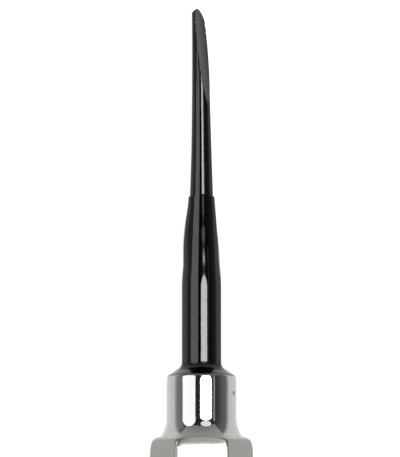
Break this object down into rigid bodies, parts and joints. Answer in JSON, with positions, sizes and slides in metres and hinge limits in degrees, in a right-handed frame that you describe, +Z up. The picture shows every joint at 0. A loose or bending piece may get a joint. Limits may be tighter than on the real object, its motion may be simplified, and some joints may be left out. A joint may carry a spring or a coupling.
{
  "type": "dental elevator",
  "caption": "Straight dental elevator: black-coated gouge blade and slim shank on a polished steel neck and a hollow six-sided handle with a domed butt.",
  "frame": {"origin": "on the ground under the middle of the tool's length, with the tool lying on its lower handle facet", "axes": "+Y towards the blade tip, +Z up from the facet that it rests on, +X to the side that the ground face looks towards"},
  "size_m": [0.0182, 0.1506, 0.016],
  "materials": {
    "black_coat": "glossy black hard coat over polished tool steel, satin on the ground face",
    "braze": "smooth braze fillet, darkened where the black coat ends on it",
    "polished_steel": "hand-polished stainless steel with fine buffing lines",
    "pin_steel": "dressed flush, a little darker than the neck"
  },
  "bodies": {
    "root": {"blade_and_shank": "black_coat", "braze_fillet": "braze", "neck_ferrule": "polished_steel", "cross_pin": "pin_steel", "handle_shell_upper": "polished_steel", "handle_shell_lower": "polished_steel", "butt_plug": "polished_steel"}
  },
  "joints": []
}
